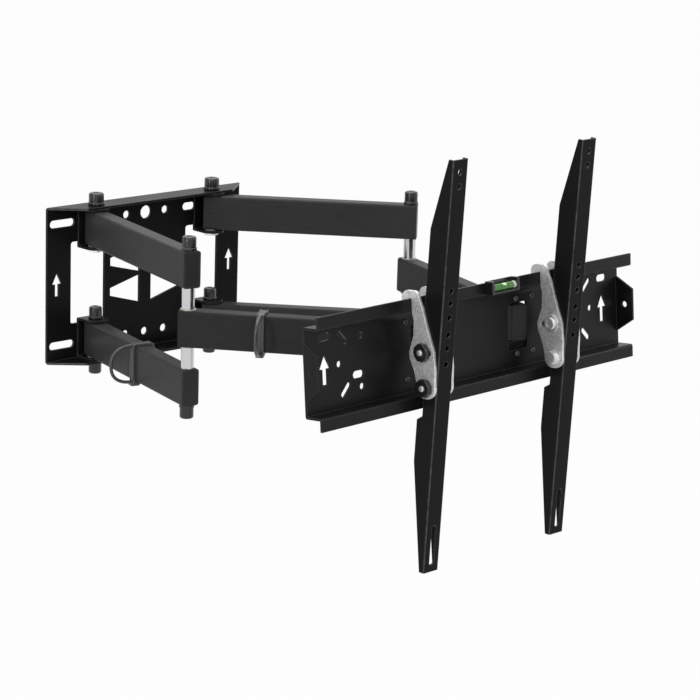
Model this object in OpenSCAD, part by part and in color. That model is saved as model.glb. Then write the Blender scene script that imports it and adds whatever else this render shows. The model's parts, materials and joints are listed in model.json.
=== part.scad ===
// Full motion wall mount for a flat television.
// Two pairs of box-tube arms fold between a wall plate and a channel that carries two rails.
// The wall is the plane y = 0, the room is on the -Y side, X runs to the right and Z is up.
// Every size is in millimetres.

/* [Wall plate] */
// Width of the wall plate
wall_plate_width = 280; // [270:1:320]
// How far the wall plate reaches beyond the upper and lower arms
wall_plate_edge = 6; // [6:0.5:14]
// Thickness of the pressed sheet of both plates
sheet = 2.5; // [2:0.1:3]
// How far the top and bottom flanges stand out
wall_flange_depth = 32; // [30:0.5:40]
// Distance between the centres of the outer bolt slots, sideways
wall_slot_spacing = 238; // [220:1:246]
// Distance between the centres of the outer bolt slots, up and down
wall_slot_rise = 140; // [130:1:150]

/* [Pivots] */
// Distance between the two upright pivots of each plate
pivot_spacing = 168; // [160:1:176]
// Distance of the shoulder pivots from the wall
wall_pivot_reach = 19; // [18.5:0.1:22]
// Distance of the head pivots behind the front of the channel
head_pivot_reach = 18; // [17:0.1:20]
// Diameter of the pivot pins
pin_diameter = 10; // [8:0.1:10.5]
// Running clearance on the radius of a pivot
pivot_clearance = 0.05; // [0.03:0.01:0.1]
// End clearance between a bush flange and its neighbour
side_clearance = 0.2; // [0.1:0.05:0.3]
// Misfit that the open fourth pivot takes up while the arms fold
fold_misfit = 2.8; // [2.7:0.05:3]

/* [Arms] */
// Distance between the pivots of every arm
arm_length = 232; // [226:1:240]
// Height of the box tube
arm_height = 40; // [36:1:42]
// Width of the box tube
arm_width = 20; // [18:0.5:21]
// Wall of the box tube
arm_wall = 2; // [1.5:0.1:2.5]
// Upright gap between a front arm and the rear arm above or below it
arm_gap = 24; // [21:0.5:24]

/* [Head] */
// Angle between the wall and the left rear arms in the pose shown, in degrees
rear_arm_angle = 77.33; // [70:0.01:84]
// Angle between the wall and the left front arm in the pose shown, in degrees
front_arm_angle = 51.41; // [45:0.01:58]
// How far the channel's centre hangs below the front arms
head_drop = 3.7; // [3:0.1:5]
// Swivel of the head in the pose shown, in degrees
head_swivel = 3.72; // [0:0.01:6]
// Backward lean of the channel that takes up the droop of loaded arms, in degrees
head_lean = 5.5; // [5:0.1:6]
// Length of the channel
channel_length = 500; // [490:1:520]
// Height of the channel's web
channel_height = 94; // [93:0.5:100]
// Depth of the channel
channel_depth = 20.3; // [19:0.1:20.5]
// Height of the turned-up lip beyond the flange
lip_height = 11.5; // [11:0.1:12]

/* [Rails] */
// Length of the upright rails
rail_length = 442; // [436:1:460]
// Width of the front face of a rail
rail_width = 23; // [22:0.5:26]
// Sheet thickness of a rail
rail_sheet = 2; // [1.5:0.1:2.5]
// Greatest depth of a rail's sides
rail_depth = 24.6; // [24:0.1:24.8]
// Place of the left rail's left side along the channel
left_rail_place = -109; // [-130:1:-90]
// Place of the right rail's left side along the channel
right_rail_place = 96; // [80:1:120]
// Tilt of the rails against the channel in the pose shown, in degrees
rail_tilt = 8.1; // [6:0.1:9]
// Thickness of a tilt cheek
cheek_thickness = 3; // [2.5:0.1:4]
// Clearance between a cheek and what slides in it
cheek_clearance = 0.2; // [0.1:0.05:0.4]

/* [Hidden] */
$fn = 40;
cut = 1;

half_spacing = pivot_spacing / 2;
pin_bore = pin_diameter + 2 * pivot_clearance;
bush_outer = pin_diameter + 3;
bush_flange = pin_diameter + 7;
bush_flange_height = 0.8;
open_bush_bore = pin_bore + 2 * fold_misfit;
open_bush_outer = open_bush_bore + 1.6;
bush_barrel = 8;
tube_corner = 3;

front_arm_top = arm_height / 2;
rear_arm_bottom = front_arm_top + arm_gap;
rear_arm_middle = rear_arm_bottom + arm_height / 2;
rear_arm_top = rear_arm_bottom + arm_height;
ear_gap = bush_flange_height + side_clearance;
rear_overhang = 7.8;
front_overhang = 9.1;
head_overhang = head_pivot_reach + 2.6;

wall_plate_height = 2 * (rear_arm_top + wall_plate_edge);
wall_flange_inside = wall_plate_height / 2 - sheet;
wall_ear_top = rear_arm_top + ear_gap;
wall_ear_bottom = rear_arm_bottom - ear_gap;
wall_bracket_width = 28;
cap_height = 14;

left_shoulder = [-half_spacing, -wall_pivot_reach];
right_shoulder = [half_spacing, -wall_pivot_reach];
left_elbow = left_shoulder + arm_length * [-cos(rear_arm_angle), -sin(rear_arm_angle)];
left_head_pivot = left_elbow + arm_length * [cos(front_arm_angle), -sin(front_arm_angle)];
right_head_pivot = left_head_pivot + pivot_spacing * [cos(head_swivel), sin(head_swivel)];
right_elbow = elbow_point(right_shoulder, right_head_pivot, 1);
head_middle = (left_head_pivot + right_head_pivot) / 2
    + head_pivot_reach * [sin(head_swivel), -cos(head_swivel)];

channel_top = channel_height / 2;
lip_top = channel_top + lip_height;
head_ear_top = front_arm_top + ear_gap;
head_ear_width = 28;

tilt_pivot_depth = 13.3;
tilt_pivot_forward = 35.5;
tilt_pivot_height = -33.7;
rail_pivot_height = -20.4;
tilt_bolt_diameter = 8;
lock_bolt_diameter = 6;
lock_radius = 37.4;
lock_angle = -1;
lock_slot_width = 6.8;
lock_slot_back = -20;
lock_slot_front = 9.4;
screen_hole = 6.6;

// Elbow of two equal arms that reach from one pivot to the other; side picks the way it bends.
function elbow_point(from, to, side) =
    let (across = to - from, half_span = norm(across) / 2)
    let (bow = sqrt(arm_length * arm_length - half_span * half_span))
    (from + to) / 2 + side * bow * [-across[1], across[0]] / norm(across);

function heading(from, to) = atan2(to[1] - from[1], to[0] - from[0]);

// ---- shared profiles and small parts ----

module rounded_rectangle(wide, high, corner) {
    square([wide - 2 * corner, high], center = true);
    square([wide, high - 2 * corner], center = true);
    for (x = [-1, 1], y = [-1, 1])
        translate([x * (wide / 2 - corner), y * (high / 2 - corner)])
            circle(corner, $fn = 24);
}

module slot_shape(long, wide) {
    square([long - wide, wide], center = true);
    for (x = [-1, 1])
        translate([x * (long - wide) / 2, 0])
            circle(d = wide);
}

// What a rounded corner takes away; the corner is at the origin and the metal at -x, -y.
module corner_bite(radius) {
    difference() {
        translate([-radius, -radius])
            square(radius + cut);
        translate([-radius, -radius])
            circle(radius, $fn = 24);
    }
}

// Stands a shape drawn in x and z upright, with its thickness running towards the wall.
module upright(thickness) {
    translate([0, thickness, 0])
        rotate([90, 0, 0])
            linear_extrude(thickness)
                children();
}

// Runs a shape drawn in y and z along X.
module along_x(length) {
    rotate([90, 0, 90])
        linear_extrude(length)
            children();
}

module at_plan(point, angle = 0) {
    translate([point[0], point[1], 0])
        rotate([0, 0, angle])
            children();
}

module hex_prism(flats, high) {
    cylinder(d = flats / cos(30), h = high, $fn = 6);
}

module ring(outer, inner, high) {
    difference() {
        cylinder(d = outer, h = high);
        translate([0, 0, -cut])
            cylinder(d = inner, h = high + 2 * cut);
    }
}

// Domed plastic cap with a skirt, pressed over the end of a pin.
module pin_cap(diameter, high, bore_depth) {
    difference() {
        rotate_extrude()
            difference() {
                union() {
                    square([diameter / 2 - 0.8, high]);
                    square([diameter / 2, 3]);
                    square([diameter / 2 - 0.4, high - 2]);
                }
                translate([diameter / 2 - 0.8, high])
                    corner_bite(3);
            }
        translate([0, 0, -cut])
            cylinder(d = pin_diameter, h = bore_depth + cut);
    }
}

// Flanged nylon bush, flange up, with the tube's face at z = 0.
module flanged_bush(outer, bore, flange, barrel) {
    difference() {
        union() {
            cylinder(d = flange, h = bush_flange_height);
            translate([0, 0, -barrel])
                cylinder(d = outer, h = barrel + bush_flange_height);
        }
        translate([0, 0, -barrel - cut])
            cylinder(d = bore, h = barrel + bush_flange_height + 2 * cut);
    }
}

module bush_pair(middle, outer, bore, flange, barrel = bush_barrel) {
    for (way = [-1, 1])
        translate([0, 0, middle + way * arm_height / 2])
            rotate([way == 1 ? 0 : 180, 0, 0])
                flanged_bush(outer, bore, flange, barrel);
}

module hex_bolt(diameter, length, flats, head_height) {
    cylinder(d = diameter, h = length);
    translate([0, 0, -head_height])
        hex_prism(flats, head_height);
}

module nut(diameter, flats, high) {
    difference() {
        hex_prism(flats, high);
        translate([0, 0, -cut])
            cylinder(d = diameter, h = high + 2 * cut);
    }
}

// ---- wall plate ----

module wall_triangle() {
    polygon([[8.5, 2], [8.5, 34], [50.5, 22], [50.5, 13]]);
}

module arrow_shape(head_width, shaft_width) {
    translate([0, 1])
        polygon([[-head_width / 2, 0], [head_width / 2, 0], [0, 13]]);
    translate([-shaft_width / 2, -13])
        square([shaft_width, 15]);
}

module wall_plate_holes() {
    for (x = [-1, 1]) {
        for (z = [-1, 1]) {
            translate([x * wall_slot_spacing / 2, z * wall_slot_rise / 2])
                slot_shape(34, 9);
            translate([x * 63.4, z * 70])
                slot_shape(18, 9);
            translate([x * 28, z * 70])
                circle(d = 9);
            mirror([x == 1 ? 0 : 1, 0])
                mirror([0, z == 1 ? 0 : 1])
                    wall_triangle();
        }
        translate([x * 126, 0])
            arrow_shape(13, 5);
        translate([x * 82.9, 0])
            rounded_rectangle(47.3, 94.4, 3);
    }
    translate([0, 70])
        circle(d = 15);
    translate([0, -70])
        circle(d = 9);
}

// Plan of the top flange, whose ends taper back to the plate.
module wall_flange_plan() {
    half_width = wall_plate_width / 2;
    difference() {
        polygon([[-half_width + 1, 0], [-half_width + 1, -4], [-105, -wall_flange_depth],
            [105, -wall_flange_depth], [half_width - 1, -4], [half_width - 1, 0]]);
        for (x = [-1, 1])
            translate([x * half_spacing, -wall_pivot_reach])
                circle(d = pin_bore);
    }
}

module wall_plate() {
    color([0.09, 0.09, 0.10])
        difference() {
            union() {
                translate([0, -sheet, 0])
                    upright(sheet)
                        difference() {
                            rounded_rectangle(wall_plate_width, wall_plate_height, 3);
                            wall_plate_holes();
                        }
                for (way = [0, 1])
                    mirror([0, 0, way])
                        translate([0, 0, wall_flange_inside])
                            linear_extrude(sheet)
                                wall_flange_plan();
            }
            for (way = [0, 1])
                mirror([0, 0, way])
                    translate([-wall_plate_width / 2 - cut, 0, wall_plate_height / 2])
                        along_x(wall_plate_width + 2 * cut)
                            corner_bite(sheet);
        }
}

// ---- shoulder brackets ----

module wall_bracket_plan() {
    front = wall_pivot_reach + 1;
    difference() {
        union() {
            translate([-wall_bracket_width / 2, -front])
                square([wall_bracket_width, front - sheet]);
            translate([0, -front])
                circle(d = wall_bracket_width);
        }
        translate([0, -wall_pivot_reach])
            circle(d = pin_bore);
    }
}

module wall_bracket_profile() {
    high = wall_flange_inside - wall_ear_bottom + sheet;
    deep = wall_pivot_reach + wall_bracket_width;
    translate([-deep - sheet, wall_ear_bottom - sheet])
        difference() {
            square([deep, high]);
            translate([-cut, sheet])
                square([deep - sheet + cut, wall_ear_top - wall_ear_bottom]);
            translate([deep, high])
                corner_bite(2);
            translate([deep, 0])
                mirror([0, 1])
                    corner_bite(2);
        }
}

// U bracket with two ears; the upper ear fills the space up to the plate's flange.
module wall_bracket() {
    intersection() {
        translate([-wall_bracket_width, 0, 0])
            along_x(2 * wall_bracket_width)
                wall_bracket_profile();
        translate([0, 0, wall_ear_bottom - 2 * sheet])
            linear_extrude(wall_plate_height)
                wall_bracket_plan();
    }
}

module placed_wall_bracket(side, way) {
    color([0.10, 0.10, 0.11])
        translate([side * half_spacing, 0, 0])
            mirror([0, 0, way == 1 ? 0 : 1])
                wall_bracket();
}

module upper_left_wall_bracket() {
    placed_wall_bracket(-1, 1);
}

module upper_right_wall_bracket() {
    placed_wall_bracket(1, 1);
}

module lower_left_wall_bracket() {
    placed_wall_bracket(-1, -1);
}

module lower_right_wall_bracket() {
    placed_wall_bracket(1, -1);
}

shoulder_nut_height = 3.5;
ear_under = wall_ear_bottom - sheet;

module at_shoulders() {
    for (side = [-1, 1])
        translate([side * half_spacing, -wall_pivot_reach, 0])
            children();
}

module shoulder_pins() {
    color([0.72, 0.73, 0.75])
        at_shoulders() {
            translate([0, 0, ear_under - shoulder_nut_height])
                cylinder(d = pin_diameter, h = wall_plate_height / 2 + 8 - ear_under + shoulder_nut_height);
            translate([0, 0, -wall_plate_height / 2 - 8])
                cylinder(d = pin_diameter, h = wall_plate_height / 2 + 16 - ear_under);
        }
}

module shoulder_caps() {
    color([0.05, 0.05, 0.055])
        at_shoulders() {
            translate([0, 0, wall_plate_height / 2])
                pin_cap(pin_diameter + 8.5, cap_height, 8);
            translate([0, 0, -wall_plate_height / 2])
                rotate([180, 0, 0])
                    pin_cap(pin_diameter + 6, cap_height, 8);
        }
}

module shoulder_nuts() {
    color([0.6, 0.61, 0.63])
        at_shoulders()
            translate([0, 0, ear_under - shoulder_nut_height])
                nut(pin_diameter, pin_diameter + 6, shoulder_nut_height);
}

module shoulder_inner_caps() {
    color([0.05, 0.05, 0.055])
        at_shoulders()
            translate([0, 0, -ear_under])
                pin_cap(pin_diameter + 6, cap_height, 8);
}

// ---- arms ----

module box_tube(near_overhang, far_overhang) {
    translate([-near_overhang, 0, 0])
        along_x(near_overhang + arm_length + far_overhang)
            difference() {
                rounded_rectangle(arm_width, arm_height, tube_corner);
                rounded_rectangle(arm_width - 2 * arm_wall, arm_height - 2 * arm_wall,
                    tube_corner - arm_wall + 0.4);
            }
}

module arm(near_overhang, far_overhang, near_hole, far_hole) {
    difference() {
        box_tube(near_overhang, far_overhang);
        translate([0, 0, -arm_height])
            cylinder(d = near_hole, h = 2 * arm_height);
        translate([arm_length, 0, -arm_height])
            cylinder(d = far_hole, h = 2 * arm_height);
    }
}

// Plug with a thin face and two side legs that grip the tube beside the pin.
module end_plug() {
    inside_width = arm_width - 2 * arm_wall;
    inside_height = arm_height - 2 * arm_wall;
    translate([-1.2, 0, 0])
        along_x(1.2)
            rounded_rectangle(inside_width, inside_height, tube_corner - arm_wall + 0.4);
    for (way = [-1, 1])
        translate([-6, way * (inside_width / 2 - 0.6) - 0.6, -10])
            cube([5.4, 1.2, 20]);
}

module arm_plugs(near_overhang, far_overhang) {
    translate([arm_length + far_overhang, 0, 0])
        end_plug();
    translate([-near_overhang, 0, 0])
        rotate([0, 0, 180])
            end_plug();
}

module at_left_rear() {
    at_plan(left_shoulder, heading(left_shoulder, left_elbow))
        children();
}

module at_right_rear() {
    at_plan(right_shoulder, heading(right_shoulder, right_elbow))
        children();
}

module at_left_front() {
    at_plan(left_elbow, heading(left_elbow, left_head_pivot))
        children();
}

module at_right_front() {
    at_plan(right_elbow, heading(right_elbow, right_head_pivot))
        children();
}

module rear_arm(way) {
    color([0.12, 0.12, 0.13])
        translate([0, 0, way * rear_arm_middle])
            arm(rear_overhang, rear_overhang, bush_outer, pin_bore);
}

module upper_left_rear_arm() {
    at_left_rear()
        rear_arm(1);
}

module lower_left_rear_arm() {
    at_left_rear()
        rear_arm(-1);
}

module upper_right_rear_arm() {
    at_right_rear()
        rear_arm(1);
}

module lower_right_rear_arm() {
    at_right_rear()
        rear_arm(-1);
}

module rear_bushes() {
    color([0.86, 0.85, 0.80])
        for (way = [-1, 1])
            bush_pair(way * rear_arm_middle, bush_outer, pin_bore, bush_flange);
}

module left_shoulder_bushes() {
    at_left_rear()
        rear_bushes();
}

module right_shoulder_bushes() {
    at_right_rear()
        rear_bushes();
}

module rear_plugs() {
    color([0.06, 0.06, 0.065])
        for (way = [-1, 1])
            translate([0, 0, way * rear_arm_middle])
                arm_plugs(rear_overhang, rear_overhang);
}

module left_rear_plugs() {
    at_left_rear()
        rear_plugs();
}

module right_rear_plugs() {
    at_right_rear()
        rear_plugs();
}

elbow_pin_end = rear_arm_top + 10;

module elbow_pin() {
    color([0.72, 0.73, 0.75])
        translate([0, 0, -elbow_pin_end])
            cylinder(d = pin_diameter, h = 2 * elbow_pin_end);
}

// Chrome tubes that hold the rear arms apart, one above and one below the front arm.
module elbow_spacers() {
    color([0.8, 0.81, 0.83])
        for (way = [0, 1])
            mirror([0, 0, way])
                translate([0, 0, front_arm_top + ear_gap])
                    ring(pin_diameter + 4, pin_bore, arm_gap - ear_gap);
}

module elbow_caps() {
    color([0.05, 0.05, 0.055])
        for (way = [0, 1])
            rotate([180 * way, 0, 0])
                translate([0, 0, rear_arm_top])
                    pin_cap(pin_diameter + 6.5, 15, 10);
}

module left_elbow_pin() {
    at_plan(left_elbow)
        elbow_pin();
}

module right_elbow_pin() {
    at_plan(right_elbow)
        elbow_pin();
}

module left_elbow_spacers() {
    at_plan(left_elbow)
        elbow_spacers();
}

module right_elbow_spacers() {
    at_plan(right_elbow)
        elbow_spacers();
}

module left_elbow_caps() {
    at_plan(left_elbow)
        elbow_caps();
}

module right_elbow_caps() {
    at_plan(right_elbow)
        elbow_caps();
}

module left_front_arm() {
    color([0.12, 0.12, 0.13])
        at_left_front()
            arm(front_overhang, head_overhang, bush_outer, bush_outer);
}

module right_front_arm() {
    color([0.12, 0.12, 0.13])
        at_right_front()
            arm(front_overhang, head_overhang, bush_outer, open_bush_outer);
}

module left_front_bushes() {
    color([0.86, 0.85, 0.80])
        at_left_front()
            for (place = [0, arm_length])
                translate([place, 0, 0])
                    bush_pair(0, bush_outer, pin_bore, bush_flange);
}

module right_elbow_bushes() {
    color([0.86, 0.85, 0.80])
        at_right_front()
            bush_pair(0, bush_outer, pin_bore, bush_flange);
}

// Bushes of the open pivot, bored large so that the pin keeps clear through the fold.
module right_head_bushes() {
    color([0.86, 0.85, 0.80])
        at_right_front()
            translate([arm_length, 0, 0])
                bush_pair(0, open_bush_outer, open_bush_bore, open_bush_outer + 1.6, arm_wall);
}

module front_plugs() {
    color([0.06, 0.06, 0.065])
        arm_plugs(front_overhang, head_overhang);
}

module left_front_plugs() {
    at_left_front()
        front_plugs();
}

module right_front_plugs() {
    at_right_front()
        front_plugs();
}

// ---- cable clips ----

clip_band = 3;
clip_width = 8.5;
clip_reach = 29;
clip_loop = 2.6;
clip_buckle = 10;
rear_clip_place = 122;
front_clip_place = 80;

// Strap round the tube with a D loop beside it that holds the cables.
module cable_clip() {
    outer_width = arm_width + 2 * clip_band;
    outer_height = arm_height + 2 * clip_band;
    loop_height = arm_height + 2 * clip_band - 1;
    translate([-clip_width / 2, 0, 0])
        along_x(clip_width)
            difference() {
                rounded_rectangle(outer_width, outer_height, tube_corner + 1);
                rounded_rectangle(arm_width, arm_height, tube_corner);
            }
    difference() {
        translate([-1.6, -outer_width / 2 + 0.5 - clip_reach / 2 + clip_band / 2, 0])
            along_x(3.2)
                difference() {
                    rounded_rectangle(clip_reach, loop_height, 14);
                    rounded_rectangle(clip_reach - 2 * clip_loop, loop_height - 2 * clip_loop, 14 - clip_loop);
                }
        translate([-clip_width, -arm_width / 2 - 0.5, -arm_height])
            cube([2 * clip_width, arm_width, 2 * arm_height]);
    }
    translate([-clip_width / 2, -outer_width / 2 - 1.5, -outer_height / 2 - 1.5])
        cube([clip_width, clip_buckle, clip_band + 1]);
}

module rear_cable_clip() {
    color([0.22, 0.22, 0.23])
        at_left_rear()
            translate([rear_clip_place, 0, -rear_arm_middle])
                cable_clip();
}

module front_cable_clip() {
    color([0.22, 0.22, 0.23])
        at_left_front()
            translate([front_clip_place, 0, 0])
                cable_clip();
}

// ---- head ----

module at_head() {
    at_plan(head_middle, head_swivel)
        children();
}

// Frame of the leaning channel: y = 0 is the front of its web.
module at_channel() {
    at_head()
        translate([0, 0, -head_drop])
            rotate([-head_lean, 0, 0])
                children();
}

// Half of the channel's section, drawn forward (+x) and up (+y).
module channel_half_section() {
    difference() {
        union() {
            translate([-sheet, 0])
                square([sheet, channel_top]);
            translate([-sheet, channel_top - sheet])
                square([channel_depth + sheet, sheet]);
            translate([channel_depth - sheet, channel_top - sheet])
                square([sheet, lip_height + sheet]);
        }
        translate([-sheet, channel_top])
            mirror([1, 0])
                corner_bite(2.5);
        translate([channel_depth, channel_top - sheet])
            mirror([0, 1])
                corner_bite(2.5);
    }
}

module channel_end_tab() {
    difference() {
        polygon([[-sheet, -30], [1, -30], [23, -16.5], [23, 18.6], [1, 31], [-sheet, 31]]);
        translate([11.4, 0.3])
            circle(d = 7);
    }
}

// Holes of the web, placed in from each end of the channel.
module channel_web_holes() {
    for (side = [0, 1])
        mirror([side, 0]) {
            translate([channel_length / 2, 0]) {
                translate([-28, -1])
                    arrow_shape(16, 7);
                translate([-49, 2])
                    circle(d = 7);
                translate([-81.5, 27])
                    circle(d = 7);
                translate([-81.5, -26])
                    circle(d = 7);
                translate([-76.4, -12.8])
                    slot_shape(16, 8);
                translate([-28, 33])
                    slot_shape(12, 8);
                translate([-54.5, 28.5])
                    rotate(46)
                        slot_shape(18, 6);
                translate([-57.5, -26])
                    rotate(-46)
                        slot_shape(18, 6);
            }
            translate([half_spacing + (window_outer - window_inner) / 2, (window_top - window_bottom) / 2])
                rounded_rectangle(window_outer + window_inner, window_top + window_bottom, 3);
            for (x = [-screw_inner, screw_outer], z = [-1, 1])
                translate([half_spacing + x, z * screw_rise])
                    circle(d = screw_bore);
        }
}

module tv_channel() {
    color([0.10, 0.10, 0.11])
        at_channel() {
            difference() {
                translate([-channel_length / 2, 0, 0])
                    for (way = [0, 1])
                        mirror([0, 0, way])
                            mirror([0, 1, 0])
                                along_x(channel_length)
                                    channel_half_section();
                translate([0, -cut, 0])
                    upright(sheet + 2 * cut)
                        channel_web_holes();
            }
            for (side = [0, 1])
                mirror([side, 0, 0])
                    translate([channel_length / 2 - sheet, 0, 0])
                        mirror([0, 1, 0])
                            along_x(sheet)
                                channel_end_tab();
        }
}

// Windows of the web: the ends of the front arms swing through them.
head_swing = norm([head_overhang, arm_width / 2]);
web_back = head_pivot_reach - sheet;
window_inner = sqrt(head_swing * head_swing - web_back * web_back) + fold_misfit + 2.8;
window_outer = arm_width / 2 - 1.5;
window_top = front_arm_top + head_drop + 2.3;
window_bottom = window_top - 0.5;

screw_inner = 9;
screw_outer = 17;
screw_rise = window_top + 4.5;
screw_diameter = 5;
screw_bore = screw_diameter + 0.2;
pad_inner = 20;
pad_outer = 22;
pad_top = screw_rise + 7.5;

// Flat ear of a head bracket, in plan about its pivot; it starts inside the pad.
module head_ear_plan(way) {
    ear_face = way == 1 ? head_ear_top + sheet + head_drop : head_drop - head_ear_top;
    ear_start = sheet / cos(head_lean) + ear_face * tan(head_lean) + 0.4;
    difference() {
        union() {
            translate([-head_ear_width / 2, ear_start])
                square([head_ear_width, head_pivot_reach - ear_start]);
            translate([0, head_pivot_reach])
                circle(d = head_ear_width);
        }
        translate([0, head_pivot_reach])
            circle(d = pin_bore);
        translate([-head_ear_width, ear_start - head_ear_width])
            square([2 * head_ear_width, head_ear_width]);
    }
}

// Level ear on the pivot and leaning pad against the back of the web.
module head_bracket(side, way) {
    lean_rise = (head_ear_top + way * head_drop) / cos(head_lean)
        + (way == 1 ? 2 * sheet * tan(head_lean) : 0);
    color([0.10, 0.10, 0.11]) {
        at_head()
            translate([side * half_spacing, 0, way == 1 ? head_ear_top : -head_ear_top - sheet])
                linear_extrude(sheet)
                    head_ear_plan(way);
        at_channel()
            mirror([side == 1 ? 0 : 1, 0, 0])
                translate([half_spacing, sheet, 0])
                    mirror([0, 0, way == 1 ? 0 : 1])
                        difference() {
                            translate([-pad_inner, 0, lean_rise])
                                cube([pad_inner + pad_outer, sheet, pad_top - lean_rise]);
                            for (x = [-screw_inner, screw_outer])
                                translate([x, sheet + cut, screw_rise])
                                    rotate([90, 0, 0])
                                        cylinder(d = screw_bore, h = sheet + 2 * cut);
                        }
    }
}

module upper_left_head_bracket() {
    head_bracket(-1, 1);
}

module upper_right_head_bracket() {
    head_bracket(1, 1);
}

module lower_left_head_bracket() {
    head_bracket(-1, -1);
}

module lower_right_head_bracket() {
    head_bracket(1, -1);
}

head_bolt_half = head_ear_top + sheet;

module at_head_pivots() {
    at_head()
        for (side = [-1, 1])
            translate([side * half_spacing, head_pivot_reach, 0])
                children();
}

module head_pivot_bolts() {
    color([0.66, 0.67, 0.69])
        at_head_pivots()
            translate([0, 0, head_bolt_half])
                rotate([180, 0, 0])
                    hex_bolt(pin_diameter, 2 * head_bolt_half + 5.5, pin_diameter + 5, 3.5);
}

module head_pivot_nuts() {
    color([0.66, 0.67, 0.69])
        at_head_pivots()
            translate([0, 0, -head_bolt_half - 4.5])
                nut(pin_diameter, pin_diameter + 5, 4.5);
}

module head_bracket_screws() {
    color([0.55, 0.56, 0.58])
        at_channel()
            for (side = [-1, 1], x = [-screw_inner, screw_outer], z = [-1, 1])
                translate([side * (half_spacing + x), 0, z * screw_rise])
                    rotate([-90, 0, 0])
                        difference() {
                            union() {
                                cylinder(d = screw_diameter, h = 2 * sheet + 2.5);
                                translate([0, 0, -1.6])
                                    cylinder(d = 7, h = 1.6);
                            }
                            translate([0, 0, -1.6 - cut])
                                cylinder(d = 3.4, h = 1 + cut, $fn = 6);
                        }
}

// ---- spirit level ----

level_left = 3;
level_length = 44;
level_bottom = channel_top - 0.5;
level_high = 14;
level_deep = 10.5;
vial_diameter = 8;
vial_length = 37;
vial_height = level_bottom + 6;

module level_housing() {
    color([0.05, 0.05, 0.055])
        at_channel()
            difference() {
                translate([level_left, -channel_depth - level_deep, level_bottom])
                    cube([level_length, level_deep, level_high]);
                translate([level_left + level_length / 2 - vial_length / 2,
                    -channel_depth - level_deep - cut, level_bottom + 2])
                    cube([vial_length, level_deep - 1.5 + cut, level_high]);
                translate([level_left + 3, -channel_depth - level_deep / 2 - 0.5, vial_height])
                    rotate([0, 90, 0])
                        cylinder(d = vial_diameter, h = level_length - 6);
            }
}

module level_vial() {
    color([0.45, 0.85, 0.10])
        at_channel()
            translate([level_left + 3, -channel_depth - level_deep / 2 - 0.5, vial_height])
                rotate([0, 90, 0])
                    cylinder(d = vial_diameter, h = level_length - 6);
}

// ---- tilt cheeks ----

module lock_slot() {
    intersection() {
        difference() {
            circle(lock_radius + lock_slot_width / 2, $fn = 96);
            circle(lock_radius - lock_slot_width / 2, $fn = 96);
        }
        polygon([[0, 0], 60 * [sin(lock_slot_back), cos(lock_slot_back)],
            60 * [sin(lock_slot_front), cos(lock_slot_front)]]);
    }
    for (angle = [lock_slot_back, lock_slot_front])
        translate(lock_radius * [sin(angle), cos(angle)])
            circle(d = lock_slot_width - 0.06);
}

// Outline of a cheek, drawn forward (+x) and up (+y) from the channel's web.
module cheek_outline() {
    hook_top = lip_top + 8.5;
    lip_front = channel_depth + 0.3;
    lip_back = channel_depth - sheet - 0.3;
    foot = tilt_pivot_height - 11.5;
    foot_front = tilt_pivot_forward + 13;
    foot_back = tilt_pivot_forward - 12;
    difference() {
        union() {
            polygon([[22.6, 36], [21.4, 20], [14.9, 3], [15.1, -4.5], [20.4, -17],
                [foot_back, tilt_pivot_height + 4], [foot_back, foot], [foot_front, foot],
                [foot_front, tilt_pivot_height + 4], [49.8, -15], [49, 5], [43.8, 20], [39.5, 34], [35.8, 48],
                [31.6, hook_top - 9], [lip_front, hook_top - 9], [lip_front, 44]]);
            translate([7.6, hook_top - 19])
                square([24, 19]);
        }
        translate([foot_front, foot])
            mirror([0, 1])
                corner_bite(10.5);
        translate([foot_back, foot])
            rotate(180)
                corner_bite(10.5);
        translate([31.6, hook_top])
            corner_bite(8);
        translate([7.6, hook_top])
            mirror([1, 0])
                corner_bite(8);
        translate([7.6, hook_top - 19])
            rotate(180)
                corner_bite(3);
        translate([lip_back, channel_top - 9])
            square([lip_front - lip_back, lip_height + 9.1]);
        translate([tilt_pivot_forward, tilt_pivot_height]) {
            circle(d = tilt_bolt_diameter + 2 * pivot_clearance);
            lock_slot();
        }
    }
}

module cheek(place) {
    color([0.55, 0.56, 0.57])
        at_channel()
            translate([place, 0, 0])
                mirror([0, 1, 0])
                    along_x(cheek_thickness)
                        cheek_outline();
}

// The left one of the two cheeks of a rail, seen from the room.
module left_hand_cheek(rail_place) {
    cheek(rail_place - cheek_clearance - cheek_thickness);
}

module right_hand_cheek(rail_place) {
    cheek(rail_place + rail_width + cheek_clearance);
}

module at_tilt_axis() {
    at_channel()
        translate([0, -tilt_pivot_forward, tilt_pivot_height])
            children();
}

cheek_span = rail_width + 2 * cheek_clearance + 2 * cheek_thickness;

module tilt_bolt(rail_place) {
    color([0.6, 0.61, 0.63])
        at_tilt_axis()
            translate([rail_place - cheek_clearance - cheek_thickness, 0, 0])
                rotate([0, 90, 0])
                    hex_bolt(tilt_bolt_diameter, cheek_span + 8, 13, 5);
}

module tilt_nut(rail_place) {
    color([0.6, 0.61, 0.63])
        at_tilt_axis()
            translate([rail_place + rail_width + cheek_clearance + cheek_thickness, 0, 0])
                rotate([0, 90, 0])
                    nut(tilt_bolt_diameter, 13, 6.5);
}

// ---- rails ----

// Frame of a rail: y = 0 is its front face, z = 0 its middle and x = 0 its left side.
module at_rail(rail_place) {
    at_tilt_axis()
        rotate([rail_tilt, 0, 0])
            translate([rail_place, -tilt_pivot_depth, -rail_pivot_height])
                children();
}

// Side of a rail, drawn back from the face (+x) and up (+y), with a relief for the channel's lower lip.
module rail_side() {
    half_length = rail_length / 2;
    relief_top = rail_pivot_height - 6;
    polygon([[0, -half_length], [6.5, -half_length], [rail_depth, -103], [rail_depth, relief_top - 31],
        [17.5, relief_top - 26], [17.5, relief_top - 4], [rail_depth, relief_top], [rail_depth, 146],
        [6.5, half_length], [0, half_length]]);
}

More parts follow.
